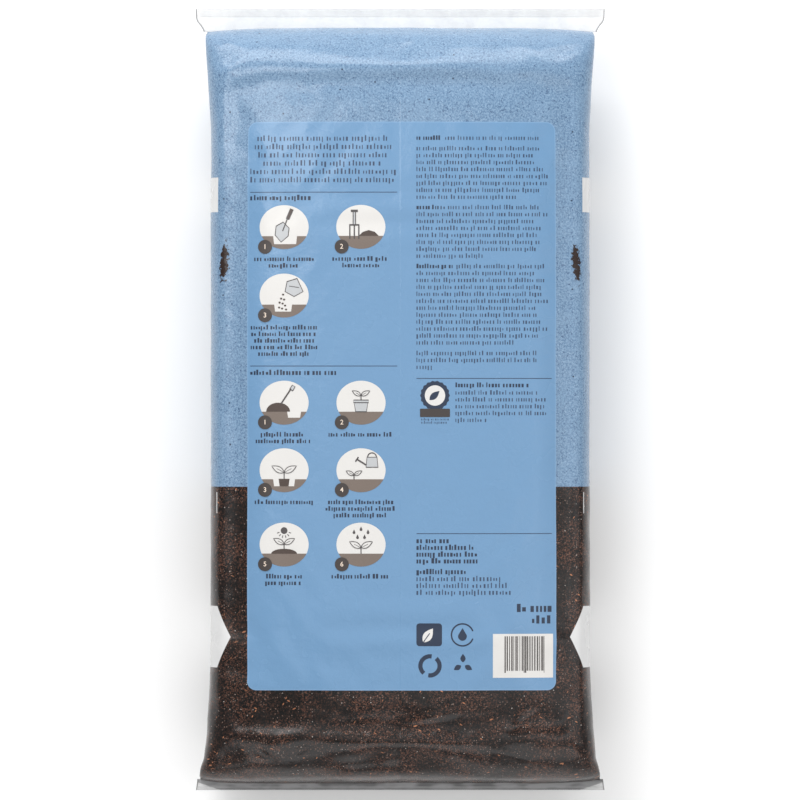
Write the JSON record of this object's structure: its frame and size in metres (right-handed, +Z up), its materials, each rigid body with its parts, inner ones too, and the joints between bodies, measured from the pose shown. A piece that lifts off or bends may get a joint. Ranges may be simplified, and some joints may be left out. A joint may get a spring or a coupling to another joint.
{
  "type": "compost bag",
  "caption": "Filled compost bag: a side-gusseted tube of printed film, welded flat across both ends, lying on its front.",
  "frame": {"origin": "middle of the footprint, on the ground that the bag's front lies on", "axes": "+Z up through the thickness and out of the bag's back; +Y along the bag towards its top end; +X across the bag, to the right for someone who looks down on the back with the top end away from them"},
  "size_m": [0.409, 0.781, 0.155],
  "materials": {
    "film": "satin printed polyethylene film"
  },
  "bodies": {
    "root": {"compost_bag": "film"}
  },
  "joints": []
}
